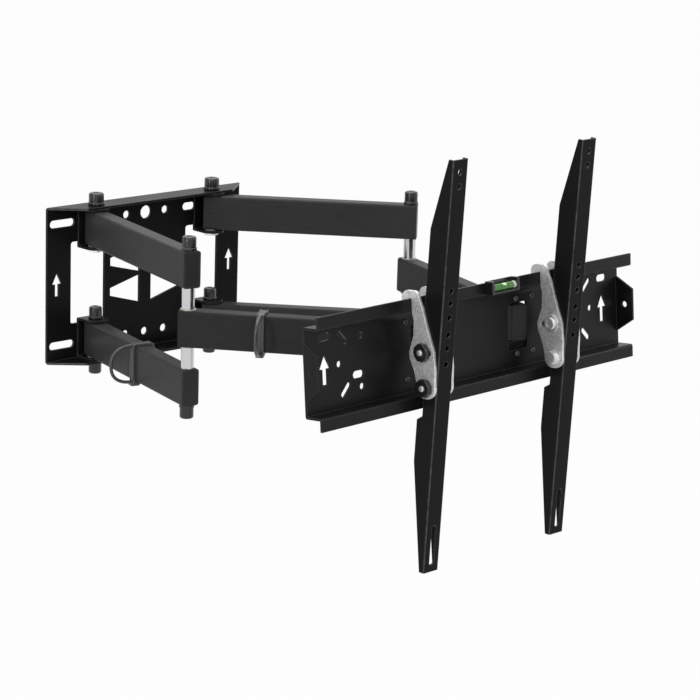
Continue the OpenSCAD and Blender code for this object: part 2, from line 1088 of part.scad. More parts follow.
// Screw holes of a rail; the top hole and the foot slot are a screen's 400 mm apart.
module rail_face_holes() {
    for (down = [13, 28])
        translate([0, rail_length / 2 - down])
            circle(d = screen_hole);
    for (z = [83.5, 70.3, 55.5, 37, 22.6, 5.4])
        translate([0, z])
            circle(d = screen_hole);
    translate([0, 29.5 - rail_length / 2])
        rotate(90)
            slot_shape(44, screen_hole + 0.4);
}

module rail(rail_place) {
    half_length = rail_length / 2;
    lock_along = lock_radius * cos(lock_angle - rail_tilt) + rail_pivot_height;
    lock_depth = tilt_pivot_depth - lock_radius * sin(lock_angle - rail_tilt);
    color([0.10, 0.10, 0.11])
        at_rail(rail_place)
            difference() {
                union() {
                    translate([0, 0, -half_length])
                        linear_extrude(rail_length)
                            difference() {
                                square([rail_width, rail_sheet]);
                                mirror([0, 1])
                                    translate([rail_width, 0])
                                        corner_bite(rail_sheet);
                                mirror([0, 1])
                                    mirror([1, 0])
                                        corner_bite(rail_sheet);
                            }
                    for (x = [0, rail_width - rail_sheet])
                        translate([x, 0, 0])
                            along_x(rail_sheet)
                                difference() {
                                    rail_side();
                                    translate([-cut, -rail_length])
                                        square([rail_sheet + cut, 2 * rail_length]);
                                }
                }
                translate([rail_width / 2, -cut, 0])
                    upright(rail_sheet + 2 * cut)
                        rail_face_holes();
                translate([-cut, tilt_pivot_depth, rail_pivot_height])
                    rotate([0, 90, 0])
                        cylinder(d = tilt_bolt_diameter + 2 * pivot_clearance, h = rail_width + 2 * cut);
                translate([-cut, lock_depth, lock_along])
                    rotate([0, 90, 0])
                        cylinder(d = lock_bolt_diameter + 0.1, h = rail_width + 2 * cut);
            }
}

module at_lock_bolt(place) {
    at_tilt_axis()
        rotate([lock_angle, 0, 0])
            translate([place, 0, lock_radius])
                rotate([0, 90, 0])
                    children();
}

module lock_bolt(rail_place) {
    color([0.74, 0.75, 0.77])
        at_lock_bolt(rail_place - cheek_clearance - cheek_thickness - 0.1)
            hex_bolt(lock_bolt_diameter, cheek_span + 7, 10, 4);
}

module lock_nut(rail_place) {
    color([0.74, 0.75, 0.77])
        at_lock_bolt(rail_place + rail_width + cheek_clearance + cheek_thickness + 0.1)
            nut(lock_bolt_diameter, 10, 5);
}

module left_outer_cheek() {
    left_hand_cheek(left_rail_place);
}

module left_inner_cheek() {
    right_hand_cheek(left_rail_place);
}

module left_tilt_bolt() {
    tilt_bolt(left_rail_place);
}

module left_tilt_nut() {
    tilt_nut(left_rail_place);
}

module left_rail() {
    rail(left_rail_place);
}

module left_lock_bolt() {
    lock_bolt(left_rail_place);
}

module left_lock_nut() {
    lock_nut(left_rail_place);
}

module right_inner_cheek() {
    left_hand_cheek(right_rail_place);
}

module right_outer_cheek() {
    right_hand_cheek(right_rail_place);
}

module right_tilt_bolt() {
    tilt_bolt(right_rail_place);
}

module right_tilt_nut() {
    tilt_nut(right_rail_place);
}

module right_rail() {
    rail(right_rail_place);
}

module right_lock_bolt() {
    lock_bolt(right_rail_place);
}

module right_lock_nut() {
    lock_nut(right_rail_place);
}

// ---- every node ----

wall_plate();
upper_left_wall_bracket();
upper_right_wall_bracket();
lower_left_wall_bracket();
lower_right_wall_bracket();
shoulder_pins();
shoulder_caps();
shoulder_nuts();
shoulder_inner_caps();
upper_left_rear_arm();
lower_left_rear_arm();
left_shoulder_bushes();
left_rear_plugs();
left_elbow_pin();
left_elbow_spacers();
left_elbow_caps();
rear_cable_clip();
upper_right_rear_arm();
lower_right_rear_arm();
right_shoulder_bushes();
right_rear_plugs();
right_elbow_pin();
right_elbow_spacers();
right_elbow_caps();
left_front_arm();
left_front_bushes();
left_front_plugs();
front_cable_clip();
right_front_arm();
right_elbow_bushes();
right_head_bushes();
right_front_plugs();
tv_channel();
upper_left_head_bracket();
upper_right_head_bracket();
lower_left_head_bracket();
lower_right_head_bracket();
head_pivot_bolts();
head_pivot_nuts();
head_bracket_screws();
level_housing();
level_vial();
left_outer_cheek();
left_inner_cheek();
left_tilt_bolt();
left_tilt_nut();
left_rail();
left_lock_bolt();
left_lock_nut();
right_inner_cheek();
right_outer_cheek();
right_tilt_bolt();
right_tilt_nut();
right_rail();
right_lock_bolt();
right_lock_nut();
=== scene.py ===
import json
import math

import bmesh
import bpy
from mathutils import Matrix, Vector


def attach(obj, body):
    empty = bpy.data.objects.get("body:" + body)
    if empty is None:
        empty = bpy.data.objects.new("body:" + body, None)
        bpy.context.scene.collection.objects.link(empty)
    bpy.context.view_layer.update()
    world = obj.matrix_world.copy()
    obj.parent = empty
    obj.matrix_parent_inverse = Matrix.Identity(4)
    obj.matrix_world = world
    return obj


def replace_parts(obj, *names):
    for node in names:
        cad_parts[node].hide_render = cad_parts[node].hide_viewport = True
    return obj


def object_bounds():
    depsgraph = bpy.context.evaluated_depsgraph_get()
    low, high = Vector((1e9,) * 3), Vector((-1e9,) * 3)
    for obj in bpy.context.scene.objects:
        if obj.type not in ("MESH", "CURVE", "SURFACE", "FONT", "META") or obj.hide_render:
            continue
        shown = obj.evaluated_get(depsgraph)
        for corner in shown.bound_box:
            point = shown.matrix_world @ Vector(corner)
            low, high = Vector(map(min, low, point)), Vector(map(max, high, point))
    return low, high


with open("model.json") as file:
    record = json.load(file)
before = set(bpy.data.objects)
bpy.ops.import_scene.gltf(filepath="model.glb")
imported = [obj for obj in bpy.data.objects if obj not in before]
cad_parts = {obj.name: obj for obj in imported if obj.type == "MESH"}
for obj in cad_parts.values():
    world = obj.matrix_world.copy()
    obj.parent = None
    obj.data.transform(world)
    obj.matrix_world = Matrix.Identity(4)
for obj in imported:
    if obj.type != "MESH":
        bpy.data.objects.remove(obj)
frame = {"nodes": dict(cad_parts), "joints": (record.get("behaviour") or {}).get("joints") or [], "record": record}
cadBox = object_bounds()
record = frame["record"]
bodyOf = {node: body for body, nodes in record["behaviour"]["bodies"].items() for node in nodes}
joints = {joint["name"]: joint for joint in frame["joints"]}
roomward = -0.7  # a face whose normal has less y than this looks into the room


# Direction out of the largest face of a piece that looks into the room.
def frontOf(node):
    faces = [face for face in frame["nodes"][node].data.polygons if face.normal.y < roomward]
    return max(faces, key=lambda face: face.area).normal.copy()


# The three square directions of a piece that faces `front` and turns about `axis`.
def squareTo(axis, front):
    return axis, front.normalized(), axis.cross(front).normalized()


def addToScene(name, data):
    thing = bpy.data.objects.new(name, data)
    bpy.context.scene.collection.objects.link(thing)
    return thing


upAxis = Vector((0, 0, 1))
headAxis = Vector(joints["left_tilt"]["axis"]).normalized()  # runs along the channel
headFront = frontOf("tv_channel")  # the channel's lips and its web both face this way
headUp = headFront.cross(headAxis)
print("frame loaded,", len(frame["nodes"]), "nodes")


viewpoint = dict(place=(-2.0084, -2.5181, 0.7062), turn=(76.139, -1.689, -42.439), lens=146.74,
                 sensor=36, clipEnd=120)

camera = addToScene("camera", bpy.data.cameras.new("camera"))
camera.location = viewpoint["place"]
camera.rotation_euler = [math.radians(angle) for angle in viewpoint["turn"]]
camera.data.lens = viewpoint["lens"]
camera.data.sensor_width = viewpoint["sensor"]
camera.data.clip_end = viewpoint["clipEnd"]
bpy.context.scene.camera = camera


class Wire:
    # one output in a node tree; sums written on it become Math nodes
    def __init__(self, graph, socket):
        self.graph = graph
        self.socket = socket

    def maths(self, operation, first, second=0.0):
        return self.graph.node("Math", dict(operation=operation), {0: first, 1: second})

    def __add__(self, other):
        return self.maths("ADD", self, other)

    def __sub__(self, other):
        return self.maths("SUBTRACT", self, other)

    def __rsub__(self, other):
        return self.maths("SUBTRACT", other, self)

    def __mul__(self, other):
        return self.maths("MULTIPLY", self, other)

    def clamp(self):
        return self.maths("MINIMUM", self.maths("MAXIMUM", self, 0.0), 1.0)

    # times the gain, less the cut
    def levels(self, gain, cut):
        return self * gain - cut

    __radd__ = __add__
    __rmul__ = __mul__


class Graph:
    # a node tree and the ways of filling it
    def __init__(self, tree):
        self.tree = tree
        self.tree.nodes.clear()

    def node(self, kind, settings=None, inputs=None, output=0):
        made = self.tree.nodes.new("ShaderNode" + kind)
        for name, value in (settings or {}).items():
            setattr(made, name, value)
        for name, value in (inputs or {}).items():
            self.plug(made.inputs[name], value)
        return Wire(self, made.outputs[output])

    def plug(self, socket, value):
        if isinstance(value, Wire):
            self.tree.links.new(value.socket, socket)
        else:
            socket.default_value = value

    # 1 where the camera looks at the surface, straight or by way of gloss or glass
    def seen(self):
        rays = [self.node("LightPath", output=ray) for ray in
                ("Is Camera Ray", "Is Glossy Ray", "Is Transmission Ray")]
        return (rays[0] + rays[1] + rays[2]).clamp()


def opaque(colour):
    return (*colour, 1) if isinstance(colour, tuple) else colour


def shade(colour, by):
    return tuple(min(1.0, part * by) for part in colour)


edgeTest = dict(samples=6, edgeSharp=6.0, bendSharp=5.0)


class Finish(Graph):
    # a material round one main shader
    def __init__(self, name):
        self.material = bpy.data.materials.new(name)
        self.material.use_nodes = True
        super().__init__(self.material.node_tree)
        self.shader = self.tree.nodes.new("ShaderNodeBsdfPrincipled")
        self.end = self.tree.nodes.new("ShaderNodeOutputMaterial")
        self.shown = Wire(self, self.shader.outputs[0])
        self.plug(self.end.inputs["Surface"], self.shown)

    def set(self, **values):
        for name, value in values.items():
            self.plug(self.shader.inputs[name.replace("_", " ")], value)

    def mixColour(self, factor, first, second):
        inputs = {0: factor, 6: opaque(first), 7: opaque(second)}
        return self.node("Mix", dict(data_type="RGBA"), inputs, 2)

    def place(self):
        return self.node("TexCoord", output="Object")

    def stretched(self, scale, turn=0.0):
        spin = (0, 0, math.radians(turn))
        return self.node("Mapping", {}, {"Vector": self.place(), "Scale": scale, "Rotation": spin})

    def noise(self, scale, detail=3.0, rough=0.55, vector=None):
        inputs = {"Vector": vector or self.place(), "Scale": scale, "Detail": detail, "Roughness": rough}
        return self.node("TexNoise", {}, inputs)

    def dot(self, first, second):
        return self.node("VectorMath", dict(operation="DOT_PRODUCT"), {0: first, 1: second}, 1)

    def softNormal(self, radius):
        return self.node("Bevel", dict(samples=edgeTest["samples"]), {"Radius": radius})

    # 1 on edges, 0 on flats
    def edges(self, radius):
        alike = self.dot(self.softNormal(radius), self.node("NewGeometry", output="Normal"))
        return ((1 - alike) * edgeTest["edgeSharp"]).clamp()

    # 1 where the surface turns away from all the flat directions of its piece, as on a bend
    def bends(self, ways):
        normal = self.node("TexCoord", output="Normal")
        leans = [self.dot(normal, way) for way in ways]
        nearest, *rest = [lean.maths("ABSOLUTE", lean) for lean in leans]
        for lean in rest:
            nearest = nearest.maths("MAXIMUM", nearest, lean)
        return ((1 - nearest) * edgeTest["bendSharp"]).clamp()

    def bump(self, height, strength, distance, under=None):
        inputs = {"Height": height, "Strength": strength, "Distance": distance}
        if under:
            inputs["Normal"] = under
        return self.node("Bump", {}, inputs)


# Edges and bends get a painted highlight in a pale colour, which on the arms also colours the drawn streaks; one
# share sets how much of it shows on edges and bends, another how much more on bends.
powderCoat = dict(colour=(0.0085, 0.0085, 0.0090), highlightAndStreak=(0.17, 0.17, 0.175), rough=0.30, gloss=0.06,
                  grain=2600, grainDepth=0.00002, edge=0.0012, highlight=0.85, bendHighlight=1.15)
channelPaint = dict(powderCoat, colour=(0.0098, 0.0098, 0.0104), gloss=0.13, highlight=0.42, bendHighlight=0.4)
armCoat = dict(colour=(0.038, 0.0375, 0.0366), highlightAndStreak=(0.085, 0.084, 0.082), rough=0.36, gloss=0.06,
               grain=2100, grainDepth=0.00004, edge=0.0012, streaks=0.32, highlight=0.6)
# painted shade: a darker copy of the arm coat, for the two front arms
armCoatShadedCopy = dict(armCoat, colour=(0.026, 0.026, 0.026), highlightAndStreak=(0.065, 0.065, 0.065))
blackOxide = dict(colour=(0.012, 0.012, 0.013), highlightAndStreak=(0.16, 0.16, 0.16), rough=0.28, gloss=0.5,
                  grain=1800, grainDepth=0.00002, edge=0.0005, highlight=0.7)
paintTexture = dict(grainDetail=2.0, detail=4.0, cloud=18, highlightNoise=140, edgeHighlightLevels=(1.5, 0.05),
                    bendHighlightLevels=(1.1, 0.1), cloudTone=0.5, grainTone=0.5, dark=0.72, pale=1.35,
                    drawn=(60, 6.0, 0.7), drawnStretch=(1, 1, 9), drawnTone=(2.0, 0.7), relief=0.6,
                    smoother=0.06, cloudRough=0.12, grainRough=0.04, bump=0.35)


# Painted steel: fine grain, cloudy gloss, and a painted highlight on edges and bends.
def coated(name, look, ways=None):
    texture, colour = paintTexture, look["colour"]
    finish = Finish(name)
    grain = finish.noise(look["grain"], texture["grainDetail"])
    cloud = finish.noise(texture["cloud"], texture["detail"])
    highlightNoise = finish.noise(texture["highlightNoise"], texture["detail"])
    # painted highlight on edges, broken up by noise; bends add more painted highlight below
    highlight = (finish.edges(look["edge"]) * highlightNoise.levels(*texture["edgeHighlightLevels"])).clamp()
    if ways:
        highlight = (highlight + finish.bends(ways) * highlightNoise.levels(*texture["bendHighlightLevels"]) * look["bendHighlight"]).clamp()
    tone = (cloud * texture["cloudTone"] + grain * texture["grainTone"]).clamp()
    base = finish.mixColour(tone, shade(colour, texture["dark"]), shade(colour, texture["pale"]))
    height = grain
    if "streaks" in look:  # lines left by drawing the tube
        drawn = finish.noise(*texture["drawn"], finish.stretched(texture["drawnStretch"]))
        shown = drawn.levels(*texture["drawnTone"]).clamp() * look["streaks"]
        base = finish.mixColour(shown, base, look["highlightAndStreak"])
        height = grain * texture["relief"] + drawn * texture["relief"]
    # lays the pale colour of the painted highlight over edges and bends
    base = finish.mixColour(highlight * look["highlight"], base, look["highlightAndStreak"])
    rough = (look["rough"] - texture["smoother"] + cloud * texture["cloudRough"]
             + grain * texture["grainRough"])
    normal = finish.bump(height, texture["bump"], look["grainDepth"], finish.softNormal(look["edge"]))
    finish.set(Base_Color=base, Roughness=rough, Normal=normal, Specular_IOR_Level=look["gloss"])
    return finish.material


# speckle is the share of the fine pattern, spread the range between dull and fresh
plating = dict(colour=(0.66, 0.66, 0.66), rough=0.50, edge=0.0009, speckle=0.6, spread=0.34)
brightPlating = dict(colour=(0.78, 0.78, 0.79), rough=0.34, edge=0.0005, speckle=0.1, spread=0.2)
screwPlating = dict(colour=(0.085, 0.085, 0.088), rough=0.36, edge=0.0005, speckle=0.1, spread=0.3)
platingTexture = dict(cloud=(55, 4.0), spangle=(330, 4.0, 0.65), scratch=(160, 5.0, 0.65),
                      scratchStretch=((6, 1, 1), 35), cloudTone=(1.8, 0.4), spangleTone=(3.4, 1.2),
                      bright=1.7, edgeHighlightShare=0.8, relief=0.6, smoother=0.05, spangleRough=0.08,
                      cloudRough=0.05, bump=(0.25, 0.00004))


# Plated steel: cloudy grey with fine speckle and brushed scratches, and a painted highlight on its edges.
def plated(name, look, metal, brush):
    texture = platingTexture
    finish = Finish(name)
    cloud = finish.noise(*texture["cloud"])
    spangle = finish.noise(*texture["spangle"])
    scratch = finish.noise(*texture["scratch"], finish.stretched(*texture["scratchStretch"]))
    edge = finish.edges(look["edge"])
    dull, fresh = (shade(look["colour"], 1 + way * look["spread"]) for way in (-1, 1))
    tone = (cloud.levels(*texture["cloudTone"]) * (1 - look["speckle"])
            + spangle.levels(*texture["spangleTone"]) * look["speckle"])
    base = finish.mixColour(tone.clamp(), dull, fresh)
    # painted highlight: edges paler than the plating
    base = finish.mixColour(edge * texture["edgeHighlightShare"], base, shade(look["colour"], texture["bright"]))
    height = spangle * texture["relief"] + scratch * brush
    rough = (look["rough"] - texture["smoother"] + spangle * texture["spangleRough"]
             + cloud * texture["cloudRough"])
    normal = finish.bump(height, *texture["bump"], finish.softNormal(look["edge"]))
    finish.set(Base_Color=base, Metallic=metal, Roughness=rough, Normal=normal)
    return finish.material


chrome = dict(colour=(0.62, 0.62, 0.64), rough=0.10, handling=(90, 4.0), dull=0.93, rings=(40, 3.0, 0.6),
              ringStretch=(1, 1, 30), smoother=0.02, handlingRough=0.06, bump=(0.12, 0.00002))


def chromed(name, look):
    finish = Finish(name)
    handling = finish.noise(*look["handling"])
    rings = finish.noise(*look["rings"], finish.stretched(look["ringStretch"]))
    finish.set(Base_Color=finish.mixColour(handling, shade(look["colour"], look["dull"]), look["colour"]),
               Metallic=1.0, Roughness=look["rough"] - look["smoother"] + handling * look["handlingRough"],
               Normal=finish.bump(rings, *look["bump"]))
    return finish.material


moulded = dict(colour=(0.012, 0.012, 0.013), rough=0.19, gloss=0.5, grain=1500, edge=0.0008)
plugPlastic = dict(colour=(0.028, 0.028, 0.028), rough=0.34, gloss=0.15, grain=1500, edge=0.0008)
flexible = dict(colour=(0.050, 0.050, 0.051), rough=0.34, gloss=0.5, grain=900, edge=0.0007)
plasticTexture = dict(grainDetail=2.0, cloud=(30, 3.0), dark=0.8, pale=1.3, edgeHighlightPale=3.2, edgeHighlightShare=0.5,
                      smoother=0.04, cloudRough=0.1, bump=(0.3, 0.00004))


def plastic(name, look):
    texture, colour = plasticTexture, look["colour"]
    finish = Finish(name)
    grain = finish.noise(look["grain"], texture["grainDetail"])
    cloud = finish.noise(*texture["cloud"])
    base = finish.mixColour(cloud, shade(colour, texture["dark"]), shade(colour, texture["pale"]))
    # painted highlight: edges of the plastic paler than its body
    edge = finish.edges(look["edge"]) * texture["edgeHighlightShare"]
    base = finish.mixColour(edge, base, shade(colour, texture["edgeHighlightPale"]))
    normal = finish.bump(grain, *texture["bump"], finish.softNormal(look["edge"]))
    finish.set(Base_Color=base, Roughness=look["rough"] - texture["smoother"] + cloud * texture["cloudRough"],
               Normal=normal, Specular_IOR_Level=look["gloss"])
    return finish.material


nylonBush = dict(colour=(0.55, 0.53, 0.48), rough=0.45)
whiteCap = dict(colour=(0.74, 0.76, 0.70), rough=0.35)
nylonTexture = dict(cloud=(60, 3.0), pale=1.15, grain=(900, 2.0), smoother=0.03, cloudRough=0.08,
                    bump=(0.2, 0.00003))


def nylon(name, look):
    texture = nylonTexture
    finish = Finish(name)
    cloud = finish.noise(*texture["cloud"])
    finish.set(Base_Color=finish.mixColour(cloud, look["colour"], shade(look["colour"], texture["pale"])),
               Roughness=look["rough"] - texture["smoother"] + cloud * texture["cloudRough"],
               Normal=finish.bump(finish.noise(*texture["grain"]), *texture["bump"]))
    return finish.material


acrylic = dict(colour=(0.022, 0.15, 0.008), rough=0.08)
bubble = dict(colour=(0.55, 0.90, 0.38), rough=0.05)
# the vial and its bubble get a faint green emission: a painted glow
vialTexture = dict(cloud=(120, 2.0), pale=1.3, cloudRough=0.05, coat=0.6, glow=(0.10, 0.50, 0.02),
                   paintedGlowStrength=0.05)


def vialGreen(name, look):
    texture = vialTexture
    finish = Finish(name)
    cloud = finish.noise(*texture["cloud"])
    # the emission below is a painted glow
    finish.set(Base_Color=finish.mixColour(cloud, look["colour"], shade(look["colour"], texture["pale"])),
               Roughness=look["rough"] + cloud * texture["cloudRough"], Coat_Weight=texture["coat"],
               Emission_Color=opaque(texture["glow"]), Emission_Strength=texture["paintedGlowStrength"])
    return finish.material


finishes = dict(
    plate_paint=coated("plateCoat", powderCoat),
    arm_paint=coated("armCoat", armCoat),
    black_plastic=plastic("mouldedBlack", moulded),
    nylon=nylon("nylonWhite", nylonBush),
    clip_plastic=plastic("clipGrey", flexible),
    spacer_chrome=chromed("spacerChrome", chrome),
    zinc=plated("zincGrey", plating, 0.6, 0.3),
    bright_steel=plated("boltSteel", brightPlating, 0.75, 0.5),
    vial=vialGreen("vialGreen", acrylic),
)
plugBlack = plastic("plugBlack", plugPlastic)
blackScrew = coated("blackScrew", blackOxide)
bracketScrew = plated("bracketScrew", screwPlating, 0.5, 0.3)
# wall plate, channel and rails also get a painted highlight along their bends
wallCoat = coated("wallCoat", powderCoat, squareTo(Vector((1, 0, 0)), Vector((0, -1, 0))))
channelCoat = coated("channelCoat", channelPaint, squareTo(headAxis, headFront))
railCoat = coated("railCoat", powderCoat, squareTo(headAxis, frontOf("left_rail")))
# the front arms get the darker copy of the arm coat, as painted shade
frontArmShadedCoat = coated("armCoatShadedCopy", armCoatShadedCopy)
paleCap = nylon("paleCap", whiteCap)
bubbleGreen = vialGreen("bubbleGreen", bubble)
ownFinish = dict(wall_plate=wallCoat, tv_channel=channelCoat, left_rail=railCoat, right_rail=railCoat,
                 left_front_arm=frontArmShadedCoat, right_front_arm=frontArmShadedCoat)
for name, node in frame["nodes"].items():
    slotName = node.data.materials[0].name.split(".")[0]
    node.data.materials[0] = plugBlack if name.endswith("_plugs") else ownFinish.get(name, finishes[slotName])
print("finishes set")


def makePiece(name, work, node, slotName, finish=None, smooth=35):
    mesh = bpy.data.meshes.new(name)
    work.to_mesh(mesh)
    work.free()
    piece = addToScene(name, mesh)
    mesh.materials.append(finish or finishes[slotName])
    mesh.shade_smooth()
    mesh.set_sharp_from_angle(angle=math.radians(smooth))
    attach(piece, bodyOf[node])
    return piece


pointsRound = dict(fine=72, lathed=48, shank=30, wire=14)
welded = 1e-6
sameLevel = 2e-4
thinnest = 1e-5


# Separate solids of a CAD node, as lists of points, roughly from left to right.
def solidsOf(node):
    work = bmesh.new()
    work.from_mesh(frame["nodes"][node].data)
    bmesh.ops.remove_doubles(work, verts=work.verts, dist=welded)
    seen, solids = set(), []
    for start in work.verts:
        if start in seen:
            continue
        seen.add(start)
        stack, solid = [start], []
        while stack:
            vert = stack.pop()
            solid.append(vert.co.copy())
            for edge in vert.link_edges:
                other = edge.other_vert(vert)
                if other not in seen:
                    seen.add(other)
                    stack.append(other)
        solids.append(solid)
    work.free()
    return sorted(solids, key=lambda solid: min(p.x * 3 + p.z for p in solid))


def middleOf(values):
    return (min(values) + max(values)) / 2


# Centre line, ends and radii of a round solid about a known axis.
def measure(points, axis):
    side = axis.orthogonal().normalized()
    other = axis.cross(side)
    offsets = [(p.dot(side), p.dot(other), p.dot(axis)) for p in points]
    x, y = (middleOf([offset[i] for offset in offsets]) for i in (0, 1))
    rings = [(math.hypot(a - x, b - y), height, math.atan2(b - y, a - x)) for a, b, height in offsets]
    low, high = (pick(height for _, height, _ in rings) for pick in (min, max))
    atLow, atHigh = (max(radius for radius, height, _ in rings if abs(height - end) < sameLevel)
                     for end in (low, high))
    widest, _, phase = max(rings)
    levels = sorted({round(height, 5) for _, height, _ in rings})
    headAtLow = atLow > atHigh
    head = levels[1] - levels[0] if headAtLow else levels[-1] - levels[-2]
    return dict(foot=side * x + other * y, side=side, axis=axis, low=low, high=high, shank=min(atLow, atHigh),
                headAtLow=headAtLow, head=head, levels=levels, widest=widest, phase=phase,
                flats=widest * math.cos(math.pi / 6) * 2)


# Matrix that stands a local z on the axis, with z = 0 at the given height.
def stand(found, height, flip=False):
    axis = -found["axis"] if flip else found["axis"]
    side = found["side"]
    matrix = Matrix((side, axis.cross(side), axis)).transposed().to_4x4()
    matrix.translation = found["foot"] + found["axis"] * height
    return matrix


# Skins rings of points; its ends are capped, or joined to each other.
def skin(work, rings, joined=False):
    made = [[work.verts.new(p) for p in ring] for ring in rings]
    pairs = list(zip(made, made[1:]))
    if joined:
        pairs.append((made[-1], made[0]))
    for low, high in pairs:
        for i in range(len(low)):
            j = (i + 1) % len(low)
            work.faces.new((low[i], low[j], high[j], high[i]))
    if not joined:
        work.faces.new(list(reversed(made[0])))
        work.faces.new(made[-1])


# Moves a part to its place and adds it to the piece.
def addTo(work, part, place=None):
    if place is not None:
        part.transform(place)
    bmesh.ops.recalc_face_normals(part, faces=part.faces)
    spare = bpy.data.meshes.new("spare")
    part.to_mesh(spare)
    work.from_mesh(spare)
    bpy.data.meshes.remove(spare)
    part.free()


def turns(count):
    return [2 * math.pi * i / count for i in range(count)]


def around(radius, angle, height):
    return Vector((radius * math.cos(angle), radius * math.sin(angle), height))


def circle(radius, height, count=pointsRound["fine"]):
    return [around(radius, angle, height) for angle in turns(count)]


hexShape = dict(full=0.96, slope=0.577)  # the chamfer starts just inside the flats and falls at 30 degrees


def hexagon(flats, height, phase=0.0, slope=0.0):
    ring = []
    for angle in turns(pointsRound["fine"]):
        radius = flats / 2 / math.cos((angle - phase) % (math.pi / 3) - math.pi / 6)
        drop = slope * max(0.0, radius - flats / 2 * hexShape["full"])
        ring.append(around(radius, angle, height - drop))
    return ring


# Round ring with shallow lobes.
def lobed(radius, height, lobes, depth):
    return [around(radius - depth * (0.5 + 0.5 * math.cos(lobes * angle)), angle, height)
            for angle in turns(pointsRound["fine"])]


# Lathed solid from (radius, height) pairs.
def lathe(work, profile):
    skin(work, [circle(max(radius, thinnest), height, pointsRound["lathed"]) for radius, height in profile])


def quarter(steps):
    return [math.pi / 2 * i / steps for i in range(steps + 1)]


def roundedStep(radius, height, corner):
    return [(radius - corner + corner * math.cos(a), height - corner + corner * math.sin(a))
            for a in quarter(5)]


bolt = dict(foot=0.94, footHigh=0.0003, rim=0.96, dish=0.5, dishDeep=0.0002, threadPitch=0.0015,
            threadDepth=0.0006, threadFade=0.0006, threadShown=0.012, threadUnder=0.00002)


def boltHead(work, flats, height, phase):
    top = flats / 2 * hexShape["full"]
    skin(work, [circle(flats / 2 * bolt["foot"], 0), hexagon(flats, bolt["footHigh"], phase),
                hexagon(flats, height, phase, hexShape["slope"]), circle(top * bolt["rim"], height),
                circle(top * bolt["dish"], height - bolt["dishDeep"])])


def thread(work, radius, start, end):
    pitch, depth, count = bolt["threadPitch"], bolt["threadDepth"], pointsRound["shank"]
    steps = max(4, int((end - start) / (pitch / 6)))
    rings = []
    for k in range(steps + 1):
        height = start + (end - start) * k / steps
        fade = min(1.0, (end - height) / bolt["threadFade"])
        ring = []
        for i, angle in enumerate(turns(count)):
            turn = (height / pitch - i / count) % 1
            cut = depth * (1 - abs(2 * turn - 1))
            ring.append(around(radius - cut - (1 - fade) * depth, angle, height))
        rings.append(ring)
    skin(work, rings)


def addBolt(work, found):
    head, shank, atLow = found["head"], found["shank"], found["headAtLow"]
    length = found["high"] - found["low"] - head
    part = bmesh.new()
    boltHead(part, found["flats"], head, -found["phase"] if atLow else found["phase"])
    for vert in part.verts:
        vert.co.z = -vert.co.z  # the head hangs under z = 0, the shank rises
    bmesh.ops.reverse_faces(part, faces=part.faces)
    plain = length - bolt["threadShown"]
    skin(part, [circle(shank, height, pointsRound["shank"]) for height in (0, plain)])
    thread(part, shank - bolt["threadUnder"], plain, length)
    addTo(work, part, stand(found, found["low"] + head if atLow else found["high"] - head, not atLow))


nut = dict(rim=0.955, mouth=0.0006, mouthDeep=0.0005, bite=0.0001)


def addNut(work, found, bore):
    part = bmesh.new()
    high, mouth, deep = found["high"] - found["low"], bore + nut["mouth"], nut["mouthDeep"]
    edge = found["flats"] / 2 * nut["rim"]
    top = hexagon(found["flats"], high, found["phase"], hexShape["slope"])
    bottom = [Vector((p.x, p.y, high - p.z)) for p in top]
    skin(part, [circle(bore, deep), circle(mouth, 0), circle(edge, 0), bottom, top,
                circle(edge, high), circle(mouth, high), circle(bore, high - deep)], joined=True)
    addTo(work, part, stand(found, found["low"]))


# Redraws all bolts of a node, or all nuts when a bore is given.
def fastenerPiece(name, node, axis, bore=None, slotName="bright_steel", finish=None):
    work = bmesh.new()
    for solid in solidsOf(node):
        found = measure(solid, axis)
        if bore:
            addNut(work, found, bore)
        else:
            addBolt(work, found)
    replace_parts(makePiece(name, work, node, slotName, finish), node)


pinRadius = measure(solidsOf("left_elbow_pin")[0], upAxis)["shank"]
pinBore = pinRadius - nut["bite"]
fastenerPiece("headBolts", "head_pivot_bolts", upAxis)
fastenerPiece("headNuts", "head_pivot_nuts", upAxis, pinBore)
fastenerPiece("shoulderNuts", "shoulder_nuts", upAxis, pinBore)
boltOf = {node: measure(solidsOf(node)[0], headAxis) for node in
          ("left_tilt_bolt", "right_tilt_bolt", "left_lock_bolt", "right_lock_bolt")}
for side in ("left", "right"):
    dark = blackScrew if side == "right" else None  # the outer ends of both rails are black
    tiltBore, lockBore = (boltOf[side + kind]["shank"] for kind in ("_tilt_bolt", "_lock_bolt"))
    fastenerPiece(side + "TiltBolt", side + "_tilt_bolt", headAxis, None, "zinc", finishes["bright_steel"])
    fastenerPiece(side + "TiltNut", side + "_tilt_nut", headAxis, tiltBore, "zinc", dark)
    fastenerPiece(side + "LockBolt", side + "_lock_bolt", headAxis)
    fastenerPiece(side + "LockNut", side + "_lock_nut", headAxis, lockBore, finish=dark)
print("fasteners made")


grip = dict(radius=0.0100, lobes=8, lobeDepth=0.0007, high=0.0060, corner=0.0016, cornerSteps=4,
            foot=((0.86, 0.0), (0.88, 0.0008)), lobesFrom=0.0012, eye=0.0036, eyeEdge=0.0006, eyeDeep=0.0008)


